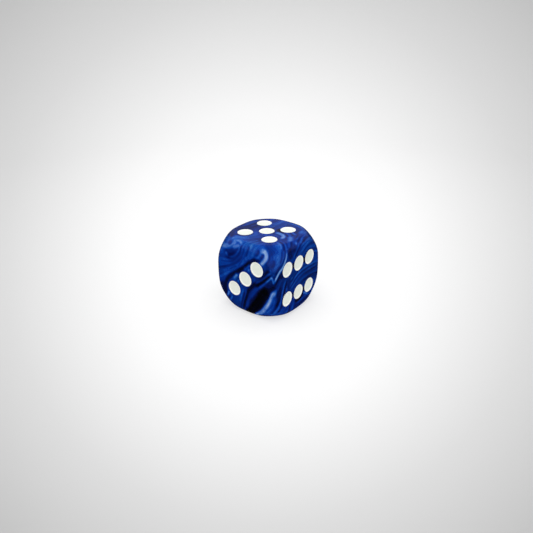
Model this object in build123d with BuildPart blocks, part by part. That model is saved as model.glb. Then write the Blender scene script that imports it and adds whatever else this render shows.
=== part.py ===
"""Six-sided die with rounded corners and painted pips, in millimetres.

The die is one solid moulding of swirled resin. Its corners are trimmed to a sphere and all its edges are
rounded over, which leaves a round flat in the middle of each side. Pips are blind round pockets in those
flats, and each pocket holds its own fill of paint. The paint climbs the pocket's wall and dries dished, so
no fill stands proud of the flat that the die rests on.

The origin is the middle of the underside and +Z points up through the five. Opposite faces add up to seven,
and one, two and three run anticlockwise round the corner that they share.
"""

import os
from typing import NamedTuple

from build123d import *

# The body
ACROSS_FLATS = 16.0  # between two opposite faces
EDGE_ROUNDING = 1.3  # radius rolled over every edge
FLAT_LAND = 0.14  # bare flat left outside the lip of the outermost pip

# The pockets that hold the paint
PIP_DIAMETER = 3.2
PIP_DEPTH = 0.6
MOUTH_ROUNDING = 0.06  # the tumbled lip of a pocket
FLOOR_ROUNDING = 0.2  # where the pocket's wall meets its floor

# The paint
PAINT_BELOW_LIP = 0.02  # bare wall between the lip's rounding and the edge of the paint
PAINT_DISH_DEPTH = 0.12  # of the flat middle, below the edge of the paint
PAINT_RIM_WIDTH = 0.34  # of the slope between that edge and that middle

# The share of a face's bare width that lies between the pips of a pattern, with the rest at its two ends
CORNER_SPREAD = 0.45  # four and five, both ways
DIAGONAL_SPREAD = 0.415  # two and three, both ways
SIX_SPREAD_ALONG = 0.33  # along each row of three
SIX_SPREAD_ACROSS = 0.49  # between the two rows

# How far a pattern's middle sits off the middle of its face, along the face's x and y
THREE_DRIFT = (0.2, 0.2)
FIVE_DRIFT = (-0.45, 0.05)
SIX_DRIFT = (-0.2, -0.2)
NO_DRIFT = (0.0, 0.0)

# Places in a pattern, counted in steps from its middle
PLACES = {
    "centre": (0, 0),
    "upper_left": (-1, 1),
    "upper_middle": (0, 1),
    "upper_right": (1, 1),
    "lower_left": (-1, -1),
    "lower_middle": (0, -1),
    "lower_right": (1, -1),
}
CORNERS = ("upper_left", "upper_right", "lower_left", "lower_right")

BODY_NODE = "die_body"
PARTS_FOLDER = "parts"

half_side = ACROSS_FLATS / 2
core_side = ACROSS_FLATS - 2 * EDGE_ROUNDING  # a face's width between its rounded edges
pip_radius = PIP_DIAMETER / 2
paint_edge_drop = MOUTH_ROUNDING + PAINT_BELOW_LIP
paint_dish_drop = paint_edge_drop + PAINT_DISH_DEPTH
centre = Vector(0, 0, half_side)
X, Y, Z = Vector(1, 0, 0), Vector(0, 1, 0), Vector(0, 0, 1)


def step(pips_abreast: int, spread: float) -> float:
    """From a pattern's middle to its outer pips, when a share of the face's bare width lies between them."""
    bare_width = core_side - pips_abreast * PIP_DIAMETER
    return ((pips_abreast - 1) * PIP_DIAMETER + spread * bare_width) / 2


class Face(NamedTuple):
    """One side of the die: which way it looks, and where its pips sit as seen from outside."""

    value: str
    outward: Vector
    right: Vector  # the face's own x, which runs to the right as seen from outside
    places: tuple[str, ...]
    steps: tuple[float, float]
    drift: tuple[float, float]

    def plane(self) -> Plane:
        """The plane of the flat, with z pointing out of the die."""
        return Plane(origin=centre + self.outward * half_side, x_dir=self.right, z_dir=self.outward)

    def pips(self) -> dict[str, tuple[float, float]]:
        """Each pip's name and its middle, in the face's plane."""
        return {
            f"{self.value}_pip_{place}": (
                PLACES[place][0] * self.steps[0] + self.drift[0],
                PLACES[place][1] * self.steps[1] + self.drift[1],
            )
            for place in self.places
        }


CORNER_STEPS = (step(2, CORNER_SPREAD), step(2, CORNER_SPREAD))
DIAGONAL_STEPS = (step(2, DIAGONAL_SPREAD), step(2, DIAGONAL_SPREAD))
SIX_STEPS = (step(3, SIX_SPREAD_ALONG), step(2, SIX_SPREAD_ACROSS))

FACES = (
    Face("one", -X, -Y, ("centre",), DIAGONAL_STEPS, NO_DRIFT),
    Face("two", -Z, X, ("upper_left", "lower_right"), DIAGONAL_STEPS, NO_DRIFT),
    Face("three", -Y, X, ("lower_left", "centre", "upper_right"), DIAGONAL_STEPS, THREE_DRIFT),
    Face("four", Y, -X, CORNERS, CORNER_STEPS, NO_DRIFT),
    Face("five", Z, X, (*CORNERS, "centre"), CORNER_STEPS, FIVE_DRIFT),
    Face("six", X, Y, (*CORNERS, "upper_middle", "lower_middle"), SIX_STEPS, SIX_DRIFT),
)


def flat_radius() -> float:
    """The radius of the round flats, which reach just past the lip of the outermost pip of all."""
    spots = [Vector(*spot) for face in FACES for spot in face.pips().values()]
    return max(spot.length for spot in spots) + pip_radius + MOUTH_ROUNDING + FLAT_LAND


def make_body() -> Part:
    """The moulding: a ball rolled over a cube trimmed by a sphere, with a pocket for each pip."""
    corner_sphere = (flat_radius() ** 2 + (core_side / 2) ** 2) ** 0.5
    with BuildPart(Plane(centre)) as body:
        Box(core_side, core_side, core_side)
        Sphere(corner_sphere, mode=Mode.INTERSECT)
        offset(amount=EDGE_ROUNDING, kind=Kind.ARC)
        for face in FACES:
            plane = face.plane()
            with BuildSketch(plane):
                with Locations(*face.pips().values()):
                    Circle(pip_radius)
            extrude(amount=-PIP_DEPTH, mode=Mode.SUBTRACT)
            rings = body.edges(Select.LAST).filter_by(GeomType.CIRCLE)
            by_depth = rings.group_by(Axis(plane.origin, plane.z_dir))
            fillet(by_depth[0], FLOOR_ROUNDING)
            fillet(by_depth[-1], MOUTH_ROUNDING)
    body.part.label = BODY_NODE
    return body.part


def make_paint(name: str, face: Face, spot: tuple[float, float]) -> Part:
    """One pip's paint, turned about the pip's own axis: it fills the pocket and dries with a dished top."""
    middle = face.plane().from_local_coords(Vector(*spot, 0))
    section = Plane(origin=middle, x_dir=face.right, z_dir=face.right.cross(face.outward))
    floor_corner = (pip_radius - FLOOR_ROUNDING, -PIP_DEPTH)
    wall_foot = (pip_radius, FLOOR_ROUNDING - PIP_DEPTH)
    wall_head = (pip_radius, -paint_edge_drop)
    dish_edge = (pip_radius - PAINT_RIM_WIDTH, -paint_dish_drop)
    with BuildPart() as paint:
        with BuildSketch(section):
            with BuildLine():
                Line((0, -PIP_DEPTH), floor_corner)
                RadiusArc(floor_corner, wall_foot, -FLOOR_ROUNDING)
                Line(wall_foot, wall_head)
                Spline(wall_head, dish_edge, tangents=((-1, -1), (-1, 0)))
                Line(dish_edge, (0, -paint_dish_drop))
                Line((0, -paint_dish_drop), (0, -PIP_DEPTH))
            make_face()
        revolve(axis=Axis(middle, face.outward))
    paint.part.label = name
    return paint.part


def main() -> None:
    """Builds every piece and writes one STEP file for each."""
    os.makedirs(PARTS_FOLDER, exist_ok=True)
    pieces = [make_body()]
    for face in FACES:
        pieces += [make_paint(name, face, spot) for name, spot in face.pips().items()]
    for piece in pieces:
        export_step(piece, f"{PARTS_FOLDER}/{piece.label}.step")
    print(f"{len(pieces)} pieces, on a body with flats {2 * flat_radius():.2f} mm across")


main()
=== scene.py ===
"""Looks of a six-sided die in swirled blue resin, with sunken pips filled with white paint.

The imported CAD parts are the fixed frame. This script models the die's body and its 21 drops of paint
in more detail, lays the marbling of the resin on the body stroke by stroke, gives every piece its finish, and
sets the die on a pale studio floor.

Lengths are in metres unless a comment says otherwise. Marbling is laid out in millimetres on the six sides.
"""

from __future__ import annotations

import logging
import math
from abc import ABC, abstractmethod
from collections.abc import Sequence
from dataclasses import dataclass, field
from enum import Enum

import bpy
import numpy as np
from mathutils import Matrix, Vector
from mathutils.bvhtree import BVHTree


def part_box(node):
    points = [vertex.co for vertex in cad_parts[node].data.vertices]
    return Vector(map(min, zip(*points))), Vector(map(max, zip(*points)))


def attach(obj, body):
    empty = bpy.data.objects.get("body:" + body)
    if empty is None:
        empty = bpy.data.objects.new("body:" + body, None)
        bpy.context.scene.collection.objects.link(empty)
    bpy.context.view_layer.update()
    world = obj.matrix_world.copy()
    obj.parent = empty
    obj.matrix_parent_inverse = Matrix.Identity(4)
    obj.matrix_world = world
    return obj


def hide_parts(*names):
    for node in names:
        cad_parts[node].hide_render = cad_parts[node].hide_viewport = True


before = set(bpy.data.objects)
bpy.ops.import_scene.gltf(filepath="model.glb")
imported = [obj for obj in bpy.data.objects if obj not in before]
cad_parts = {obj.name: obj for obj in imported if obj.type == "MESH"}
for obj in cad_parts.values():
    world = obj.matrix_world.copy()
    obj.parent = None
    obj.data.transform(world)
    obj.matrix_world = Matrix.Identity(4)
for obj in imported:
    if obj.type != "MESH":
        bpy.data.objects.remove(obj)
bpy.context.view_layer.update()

log = logging.getLogger("die")

MM = 0.001
BODY = "root"
Colour = tuple[float, float, float]
Path = tuple[tuple[float, float], ...]


def srgb(red: float, green: float, blue: float) -> tuple[float, float, float, float]:
    """Linear colour, with alpha, from display values.

    Args:
        red: 0 to 255.
        green: 0 to 255.
        blue: 0 to 255.

    Returns:
        The colour that a shader takes.
    """
    values = [channel / 255 for channel in (red, green, blue)]
    linear = [v / 12.92 if v <= 0.04045 else ((v + 0.055) / 1.055) ** 2.4 for v in values]
    return (*linear, 1.0)


# ---------------------------------------------------------------------------------------------------------
# Sides of the die, and the strokes laid on them


class Side(Enum):
    """The six sides: the way each looks, and its own x, which runs to the right as seen from outside."""

    ONE = ((-1, 0, 0), (0, -1, 0))
    TWO = ((0, 0, -1), (1, 0, 0))
    THREE = ((0, -1, 0), (1, 0, 0))
    FOUR = ((0, 1, 0), (-1, 0, 0))
    FIVE = ((0, 0, 1), (1, 0, 0))
    SIX = ((1, 0, 0), (0, 1, 0))

    @property
    def outward(self) -> np.ndarray:
        """The way that the side looks."""
        return np.array(self.value[0], float)

    @property
    def right(self) -> np.ndarray:
        """The side's own x."""
        return np.array(self.value[1], float)

    @property
    def up(self) -> np.ndarray:
        """The side's own y."""
        return np.cross(self.outward, self.right)


class Tone(float, Enum):
    """Named places on the resin's scale from black to milky blue."""

    INK = 0.0
    MIDNIGHT = 0.14
    NAVY = 0.28
    COBALT = 0.42
    ROYAL = 0.55
    AZURE = 0.67
    SKY = 0.80
    PALE = 0.90
    MILK = 1.0


@dataclass(frozen=True)
class Stroke:
    """One streak of pigment, drawn on a side in millimetres from its middle."""

    side: Side
    tone: float
    width: float
    path: Path
    strength: float = 1.0
    softness: float = 0.5


def strokes(side: Side, *rows: tuple) -> list[Stroke]:
    """Strokes on one side, each row being tone, width, path, and if need be strength and softness."""
    return [Stroke(side, float(row[0]), *row[1:]) for row in rows]


WASHES: list[Stroke] = [
    *strokes(
        Side.THREE,
        (Tone.COBALT - 0.01, 7, ((-3, 3), (-1, 5)), 0.9),
        (Tone.NAVY + 0.04, 6, ((4, 0), (7, 3)), 0.8),
        (Tone.NAVY + 0.08, 5, ((-2, -5), (-1, -7)), 0.9),
        (Tone.ROYAL, 3.2, ((-7.5, 4.5), (-5.6, 3.2), (-5.8, 5.5)), 0.8),
        (Tone.ROYAL, 2.8, ((-6.8, 0.2), (-4.2, 2), (-1.6, 3.4), (0.4, 5), (1.2, 7.5)), 0.65),
        (Tone.ROYAL, 2.5, ((-0.6, 8), (0, 6)), 0.5),
        (Tone.COBALT - 0.03, 3.4, ((7.9, -4.6), (6.4, -7)), 0.9),
        (Tone.COBALT - 0.03, 4.4, ((5.2, 8.6), (6.9, 6.4), (7.2, 4.4)), 0.85),
    ),
    *strokes(
        Side.SIX,
        (Tone.NAVY + 0.06, 9, ((2, -1), (4, -3)), 0.9),
        (Tone.NAVY, 4.5, ((-3, -6.5), (1, -7)), 0.9),
        (Tone.NAVY - 0.02, 3.6, ((-3, 6), (-2.4, 7.8)), 0.9),
        (Tone.ROYAL - 0.06, 3, ((-7.6, 4.8), (-6.4, 6.6), (-6, 8)), 0.8),
        (Tone.NAVY, 2.6, ((-7.6, 0.6), (-7.2, -2), (-7.9, -5)), 0.8),
        (Tone.COBALT + 0.01, 4, ((2.4, 6.6), (6, 5.6), (7, 2)), 0.7),
    ),
    *strokes(
        Side.FIVE,
        (Tone.COBALT + 0.04, 14, ((-1, 0), (0, 0)), 0.9),
        (Tone.NAVY + 0.02, 3.4, ((-6, 1.2), (-4.4, 1.4), (-4.8, -0.6), (-5.2, -4.6)), 0.7),
        (Tone.ROYAL + 0.02, 3.4, ((-5.6, -7.4), (-1, -7.2), (3.4, -7)), 0.85),
        (Tone.AZURE, 1.8, ((-7.6, -6.8), (-5, -7.6), (-1.6, -7.8), (1.6, -7.9)), 0.7, 0.7),
        (Tone.ROYAL, 3.4, ((5.6, -5), (7.4, -4)), 0.8),
        (Tone.ROYAL, 3.0, ((7, 2), (6.4, 4.5)), 0.5),
    ),
    *strokes(
        Side.ONE,
        (Tone.ROYAL, 4.5, ((8, 5), (4, 4), (0, 5.4), (-4, 4.4)), 0.7),
        (Tone.NAVY, 6, ((-5, -3), (2, -5.4)), 0.8),
    ),
    *strokes(
        Side.TWO,
        (Tone.COBALT + 0.03, 9, ((-4, 0), (4, 2)), 0.7),
        (Tone.NAVY, 4.5, ((-3, -6), (-6, -3)), 0.8),
        (Tone.ROYAL, 3.4, ((5, -4), (7, -7)), 0.8),
    ),
    *strokes(
        Side.FOUR,
        (Tone.NAVY + 0.06, 7, ((-3, -1), (3, -2)), 0.8),
        (Tone.ROYAL, 4, ((-6, 6), (-2, 7)), 0.8),
        (Tone.ROYAL, 3.6, ((4, -6), (7, -5)), 0.7),
    ),
]


LINES: list[Stroke] = [
    *strokes(
        Side.THREE,
        # the pool and the bands beside it
        (
            Tone.NAVY - 0.02, 2.2,
            ((7.2, 0.8), (5, -0.4), (3.4, -1.8), (1.9, -3.6), (0.8, -5.6), (0.3, -7.8)),
            0.9, 0.5,
        ),
        (
            Tone.INK, 2.5,
            ((6.7, -0.3), (5, -1.7), (4.1, -3.2), (3.1, -4.8), (2.1, -6.6), (1.4, -8.6)),
            1, 0.35,
        ),
        (Tone.INK, 2.2, ((4.2, -3.4), (2.9, -5), (1.7, -6.8), (1, -8.8)), 0.95, 0.4),
        (Tone.INK, 3, ((4.3, -4.2), (3.6, -5.6), (2.8, -7), (2.2, -8.8)), 1, 0.3),
        (Tone.MIDNIGHT, 1.0, ((7.9, 0.9), (6.6, -0.1)), 0.8, 0.6),
        (Tone.ROYAL, 0.5, ((6.2, 1.9), (4.6, 0.1), (3.2, -1.3), (2.3, -2.6), (1.6, -3.8)), 0.65, 0.6),
        (Tone.ROYAL + 0.05, 0.6, ((0.4, -4.6), (0, -6), (-0.4, -7.8)), 0.7, 0.6),
        (Tone.ROYAL - 0.03, 0.7, ((4.9, 0.1), (3.2, -1.1), (1.9, -2.7), (1, -4.6), (0.5, -6.6)), 0.6, 0.6),
        # dark line under the pips
        (
            Tone.MIDNIGHT - 0.06, 0.75,
            (
                (7, 4.3), (6, 3.6), (5.3, 2.3), (4.2, 1), (2.7, -0.2), (1.8, -1.2), (0.9, -2.4), (0.3, -4),
                (-0.2, -5.8), (-0.6, -7.6),
            ),
            0.85, 0.5,
        ),
        (Tone.INK + 0.04, 0.6, ((6.7, 2.9), (5.4, 1.5), (4.2, 0.4), (3, -0.6)), 0.95, 0.4),
        (Tone.SKY, 0.3, ((7, 3.6), (6.1, 3), (5.2, 2), (4.2, 1.1), (2.8, 0.1)), 0.55, 0.5),
        # the two arms of the fold
        (Tone.PALE, 0.36, ((7.05, 2.75), (6.4, 2), (5.6, 1.2)), 0.8, 0.6),
        (Tone.AZURE, 0.4, ((5.8, 1.4), (4.8, 0.4), (3.9, -0.4)), 0.5, 0.7),
        (Tone.PALE, 0.4, ((7.05, 2.8), (7.35, 2), (7.6, 1.3)), 0.75, 0.6),
        # dark bank above the pips
        (
            Tone.MIDNIGHT - 0.04, 0.9,
            (
                (4.4, 5.3), (3, 5.2), (1.6, 4.4), (0.2, 3), (-1.2, 1.9), (-2.6, 0.8), (-3.9, -0.3), (-4.8, -1.4),
                (-5.3, -2.8), (-5.3, -4.4), (-4.7, -6),
            ),
            0.85, 0.5,
        ),
        (Tone.INK, 0.5, ((1.5, 4.2), (0.4, 3.2), (-0.8, 2.2), (-1.9, 1.3)), 0.75, 0.5),
        (Tone.MIDNIGHT, 1.8, ((-5.6, -2.2), (-6, -3.4), (-5.6, -5)), 0.75, 0.6),
        # between the pips
        (Tone.COBALT, 1.1, ((-2.8, -0.6), (-1.6, 0.6)), 0.9, 0.5),
        (Tone.SKY, 0.55, ((-3, -0.5), (-2.4, 0), (-1.9, 0.8)), 0.75, 0.6),
        (Tone.SKY, 0.4, ((-1.8, -1.1), (-1.5, -0.5)), 0.7, 0.6),
        (Tone.COBALT, 1.6, ((0.3, 2.7), (1.6, 1.6), (2.6, 0.9)), 0.9, 0.5),
        (Tone.AZURE, 0.35, ((0.1, 2.3), (0.9, 3.2), (1.6, 3.9)), 0.6, 0.6),
        (Tone.SKY, 0.6, ((1.4, 2.9), (1.1, 2.2)), 0.75, 0.6),
        (Tone.AZURE, 0.4, ((2.9, 1.2), (2.4, 0.5)), 0.6, 0.7),
        # falling streaks
        (Tone.COBALT, 2.0, ((-1.2, -2), (-1.7, -4), (-2.6, -6.4)), 0.8, 0.6),
        (Tone.SKY, 0.26, ((0.5, -2), (0.1, -3.4), (-0.4, -4.8), (-0.8, -6.2), (-1, -7.4)), 0.55, 0.5),
        (Tone.MIDNIGHT, 0.35, ((0.1, -2.6), (-0.4, -4.2), (-0.9, -6), (-1.3, -7.6)), 0.75, 0.5),
        (Tone.AZURE, 0.35, ((-0.3, -2.2), (-0.9, -3.8), (-1.4, -5.4), (-1.8, -7)), 0.6, 0.6),
        (Tone.MIDNIGHT, 0.3, ((-1.4, -5.4), (-1.7, -6.6), (-1.9, -7.6)), 0.6, 0.5),
        (Tone.PALE - 0.04, 0.42, ((-4.35, -4), (-4.9, -5.4)), 0.8, 0.6),
        (Tone.SKY, 0.36, ((-3.4, -4.9), (-4.1, -6.2)), 0.8, 0.6),
        (Tone.MIDNIGHT, 0.5, ((-4.2, -5), (-4.8, -6.2)), 0.7, 0.5),
        # the broad vein at the right
        (Tone.AZURE, 1.3, ((7.9, -1.6), (7.2, -3.2), (6.4, -4.8), (5.2, -6.4), (4, -7.8)), 0.6, 0.6),
        (
            Tone.SKY + 0.02, 0.95,
            ((8.2, -0.2), (7.3, -1.2), (6.9, -2.1), (6.4, -3.3), (5.6, -4.5), (4.7, -5.7), (3.7, -6.8), (2.6, -7.9)),
            0.9, 0.45,
        ),
        (Tone.MILK, 0.5, ((3.6, -7), (2.7, -7.8), (1.9, -8.4)), 0.7, 0.6),
        (Tone.PALE, 0.3, ((6.9, -2.4), (6.3, -3.6), (5.4, -5)), 0.5, 0.6),
        (Tone.MIDNIGHT, 0.4, ((7.8, -1.4), (7.2, -3), (6.4, -4.6), (5.4, -6)), 0.35, 0.6),
        # the hook by the top edge
        (Tone.SKY, 0.8, ((4.1, 8.2), (4.9, 8.2), (5.5, 7.7)), 0.6, 0.6),
        (Tone.PALE, 0.8, ((4.7, 8.3), (5.5, 7.8), (5.7, 6.9), (5.4, 6), (4.7, 5.1), (4.2, 4.9)), 0.9, 0.45),
        (Tone.PALE - 0.02, 0.4, ((5.9, 7.6), (6.05, 6.7), (5.8, 5.9)), 0.5, 0.6),
        (Tone.NAVY, 0.5, ((4.9, 7.4), (4.8, 6.6), (4.2, 6)), 0.7, 0.5),
        (Tone.AZURE, 0.3, ((4.2, 8), (4.3, 7), (3.8, 6.2), (3.1, 5.6)), 0.6, 0.6),
        (Tone.NAVY, 0.4, ((3.7, 8), (3.7, 7), (3.1, 6.1)), 0.6, 0.5),
        (Tone.AZURE, 0.3, ((2.9, 8.2), (2.6, 7), (2.1, 5.8), (1.5, 4.9)), 0.55, 0.6),
        (Tone.NAVY, 0.4, ((6.6, 8), (6.6, 7), (6.1, 5.8), (5.5, 4.9)), 0.6, 0.5),
        (Tone.ROYAL, 0.5, ((7.2, 8), (7.3, 6.8), (6.7, 5.6), (6.2, 4.8)), 0.4, 0.6),
        (Tone.NAVY - 0.04, 0.5, ((7.9, 7), (7.7, 5.6), (7, 4.7)), 0.6, 0.6),
        (Tone.SKY, 0.3, ((6.5, 4), (7, 4.15)), 0.7, 0.6),
        (Tone.AZURE, 0.3, ((7.3, 3.2), (7.9, 3.3)), 0.7, 0.6),
        # long arcs over the dark bank
        (
            Tone.NAVY - 0.02, 0.4,
            ((-7, 0.9), (-5.2, 1.6), (-3.2, 2.6), (-1.4, 4), (-0.2, 5.6), (0.3, 7.8)),
            0.55, 0.6,
        ),
        (Tone.ROYAL + 0.07, 0.4, ((-7, -1.4), (-5.6, -0.4), (-4, 0.7), (-2.2, 2)), 0.5, 0.7),
        (
            Tone.NAVY - 0.02, 0.4,
            ((-6.8, 2.6), (-5, 2.8), (-3, 3.4), (-1.6, 4.8), (-0.9, 6.4), (-0.4, 8)),
            0.5, 0.6,
        ),
        (Tone.AZURE - 0.03, 0.3, ((-0.2, 5), (0.4, 6.4), (0.8, 8)), 0.5, 0.6),
        (Tone.NAVY - 0.04, 0.5, ((-5, 3.8), (-3.8, 3.9), (-2.8, 4.5), (-1.6, 5.7)), 0.7, 0.6),
        (Tone.NAVY - 0.05, 0.5, ((1.2, 8), (1.2, 6.8), (0.6, 5.4)), 0.55, 0.6),
        # the folds at the top left, after a painted reflection: a broad soft pale patch on the rounded corner
        (Tone.SKY, 2.6, ((-8.4, 8), (-7.2, 6.8), (-6.4, 6.6)), 0.6, 0.7),
        (Tone.SKY + 0.03, 0.9, ((-7.2, 6.5), (-5.6, 6.4), (-4.2, 6.6), (-3.1, 7.2), (-2.4, 8.4)), 0.8, 0.5),
        (Tone.COBALT - 0.04, 0.9, ((-4.9, 8.2), (-4.2, 7.5), (-3.6, 8.1)), 0.85, 0.5),
        (Tone.ROYAL, 0.5, ((-4.6, 5.9), (-3.4, 6.2), (-2.4, 7.2)), 0.6, 0.6),
        (Tone.SKY, 0.7, ((-2.9, 6.5), (-2, 6.9), (-1.2, 7.4)), 0.75, 0.6),
        (Tone.SKY, 0.3, ((-1, 7.3), (-1.2, 6.3), (-1.9, 5.3), (-2.8, 4.5), (-3.8, 4)), 0.6, 0.5),
        (Tone.SKY, 0.6, ((-4.8, 5.1), (-4.6, 4.4)), 0.7, 0.7),
        (Tone.NAVY, 0.35, ((-0.5, 7.6), (-0.8, 6.2), (-1.5, 5)), 0.6, 0.6),
    ),
    *strokes(
        Side.SIX,
        (Tone.MIDNIGHT, 0.6, ((-8.3, 1.1), (-7.2, 2.2), (-6.2, 2.9), (-5.4, 3.6)), 0.85, 0.5),
        (Tone.INK + 0.05, 0.6, ((-6.4, 2.2), (-5.7, 2.2)), 0.6, 0.7),
        (
            Tone.PALE, 0.42,
            (
                (-8.3, 1.5), (-7.8, 2.3), (-7.2, 3.2), (-6.6, 3.75), (-5.8, 4.15), (-5.2, 4.8), (-4.7, 5.6),
                (-4.2, 6.7), (-3.8, 7.8), (-3.5, 8.6),
            ),
            0.85, 0.5,
        ),
        (Tone.NAVY - 0.05, 0.4, ((-7.9, 3.2), (-6.8, 4.4), (-5.7, 5.1), (-5, 6.2), (-4.5, 7.6)), 0.7, 0.5),
        (Tone.AZURE, 0.3, ((-6.4, 4.8), (-5.7, 5.6), (-5.2, 6.6), (-4.8, 8)), 0.5, 0.5),
        (Tone.NAVY - 0.05, 0.4, ((-6.4, 5.4), (-5.8, 6.4), (-5.4, 8)), 0.6, 0.5),
        (Tone.AZURE - 0.04, 0.35, ((-7.8, 4.9), (-6.9, 5.5), (-6.2, 6.6), (-5.9, 8)), 0.35, 0.6),
        (Tone.MIDNIGHT, 1.0, ((-3.6, 7.8), (-3.4, 6.2), (-2.6, 5)), 0.7, 0.6),
        (Tone.AZURE - 0.05, 0.4, ((-2.1, 4.7), (-1.4, 5.8), (-0.5, 7), (0.2, 8)), 0.55, 0.6),
        (Tone.MIDNIGHT, 0.5, ((-1.6, 4.8), (-0.6, 6), (0.8, 7.1), (2.4, 7.9)), 0.6, 0.5),
        (Tone.SKY, 0.4, ((0.2, 6.6), (1.6, 7), (3.2, 7.4), (5.5, 7.6), (8, 7.6)), 0.6, 0.6),
        (Tone.PALE, 0.4, ((-1.1, 7.6), (-0.5, 8.3)), 0.75, 0.6),
        (Tone.SKY, 0.4, ((0.3, 7.4), (1.2, 7.9), (2.4, 8.3)), 0.7, 0.6),
        (Tone.NAVY - 0.06, 0.4, ((1.6, 7.3), (2.6, 7.8), (4.4, 8.1)), 0.6, 0.5),
        (Tone.AZURE, 0.7, ((0.8, 5.4), (1.9, 6.2), (3.2, 6.7), (5, 6.8), (7.4, 6.6)), 0.6, 0.6),
        (Tone.COBALT - 0.06, 0.4, ((1.2, 5), (2.4, 5.8), (4, 6.1), (6.4, 5.9)), 0.6, 0.5),
        (Tone.AZURE - 0.04, 0.5, ((2, 5), (3.2, 5.4), (5, 5.2), (7, 4.6)), 0.5, 0.6),
        (
            Tone.SKY - 0.04, 0.55,
            (
                (-4.7, 1.3), (-5.2, 0.3), (-5.7, -1), (-6.1, -2.4), (-6.6, -3.8), (-7.1, -5.4), (-7.7, -7.2),
                (-8.2, -8.4),
            ),
            0.6, 0.6,
        ),
        (
            Tone.MIDNIGHT, 0.6,
            ((-4.1, 1), (-4.7, -0.2), (-5.2, -1.8), (-5.7, -3.6), (-6.2, -5.2), (-6.8, -7)),
            0.6, 0.5,
        ),
        (Tone.NAVY - 0.03, 0.8, ((-3.4, 1.1), (-3.8, -0.2), (-3.9, -1.4)), 0.6, 0.6),
        (Tone.AZURE, 0.55, ((-4.5, -0.8), (-4.3, -1.5)), 0.7, 0.7),
        (Tone.AZURE, 0.5, ((-3, 0.4), (-2.4, 0.8)), 0.6, 0.7),
        (Tone.AZURE - 0.05, 0.5, ((-1.5, 1.2), (-0.9, 1.4)), 0.6, 0.7),
        (Tone.MIDNIGHT, 0.4, ((-3.4, 0.1), (-2.4, 0.2), (-1.6, 0.9), (-0.4, 1.6), (1, 1.8)), 0.55, 0.5),
        (
            Tone.SKY - 0.05, 0.5,
            ((-3.4, -1), (-2.4, -0.4), (-1.4, 0.4), (-0.2, 0.95), (1.2, 1.2), (3.2, 1.3), (5.6, 1.2), (7.4, 1)),
            0.6, 0.5,
        ),
        (
            Tone.NAVY - 0.04, 0.35,
            ((-3, -1.4), (-1.8, -0.4), (-0.4, 0.4), (1.4, 0.75), (3.8, 0.8), (6, 0.7)),
            0.6, 0.5,
        ),
        (
            Tone.AZURE, 0.5,
            ((-3.2, -1.9), (-2, -1), (-0.6, -0.2), (1.2, 0.25), (3.4, 0.35), (6.4, 0.3)),
            0.5, 0.6,
        ),
        (
            Tone.COBALT - 0.05, 0.4,
            ((-2.2, -1.8), (-0.8, -0.9), (1.2, -0.35), (3.6, -0.3), (6.4, -0.5)),
            0.5, 0.5,
        ),
        (Tone.AZURE - 0.03, 0.5, ((-1.4, -1.9), (0.4, -1.1), (2.4, -0.9), (5, -1), (7, -1.3)), 0.45, 0.6),
        (Tone.NAVY, 0.3, ((1, -1.7), (2.6, -1.4), (4.8, -1.6), (6.2, -2.4)), 0.5, 0.5),
        # painted shade: dark strokes hugging the mouths of the two middle pips, in the gaps beside them and under the
        # lower one
        (Tone.INK, 0.7, ((1.65, 3.8), (1.7, 2.5)), 0.9, 0.4),
        (Tone.INK + 0.05, 0.6, ((-2.15, 4), (-2.2, 2.6)), 0.8, 0.5),
        (Tone.MIDNIGHT, 0.6, ((-2.3, -2.6), (-2.2, -3.9)), 0.7, 0.5),
        (Tone.INK, 0.6, ((1.7, -3.2), (1.55, -4.1)), 0.9, 0.5),
        (Tone.INK, 0.6, ((-1.4, -5.3), (0, -5.35), (1, -4.9), (1.5, -4.3)), 0.85, 0.45),
        (Tone.MIDNIGHT, 0.6, ((-5.7, -1.8), (-5.2, -1.9)), 0.6, 0.6),
        (Tone.PALE, 0.5, ((1.5, -4.55), (2.3, -4.85), (3.2, -5.35)), 0.8, 0.6),
        (Tone.AZURE, 0.4, ((-1, -6.1), (0.4, -5.85), (2.4, -5.5), (4.4, -5.8), (6, -6.8)), 0.6, 0.6),
        (Tone.MIDNIGHT, 0.5, ((-0.2, -6.7), (1.4, -6.4), (3.4, -6.2), (5, -7)), 0.65, 0.5),
        (Tone.SKY, 0.4, ((4.5, -4.8), (5.6, -5.6), (6.9, -6.7)), 0.6, 0.6),
        (Tone.SKY - 0.05, 0.4, ((5.8, -4.2), (7, -4.9), (8, -5.8)), 0.6, 0.6),
        (Tone.AZURE, 0.45, ((-1.8, -5.2), (-2.3, -6.4), (-2.5, -7.8)), 0.6, 0.6),
        (Tone.AZURE, 0.4, ((-5.9, -5), (-6.1, -6.4), (-6.4, -7.8)), 0.5, 0.6),
        (Tone.SKY - 0.03, 0.6, ((-4.3, -6.4), (-4.5, -7.6)), 0.45, 0.7),
        (Tone.MIDNIGHT, 0.5, ((-3.2, -5.4), (-3.4, -6.6), (-3.6, -8)), 0.5, 0.6),
        (Tone.SKY, 0.5, ((2.4, -7.4), (3, -7.9)), 0.5, 0.8),
        (Tone.SKY, 0.35, ((5.3, 3.9), (5.9, 3.6), (6.6, 3.3)), 0.6, 0.6),
    ),
    *strokes(
        Side.FIVE,
        (
            Tone.NAVY - 0.06, 0.9,
            ((1.1, 2.7), (1.6, 1.7), (2.4, 1.35), (3.4, 1.2), (4.2, 0.8), (4.7, 0.1)),
            0.75, 0.5,
        ),
        (Tone.INK + 0.06, 0.9, ((1.1, 2.3), (1.8, 1.5), (2.8, 1.25)), 0.8, 0.6),
        (Tone.PALE, 1.0, ((1.6, 0.4), (2.6, 0.3), (3.5, 0.1), (4.2, -0.5), (4.4, -1.5)), 0.85, 0.5),
        (Tone.ROYAL, 0.7, ((2.3, -0.9), (3, -0.8), (3.6, -1.3)), 0.7, 0.6),
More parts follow.
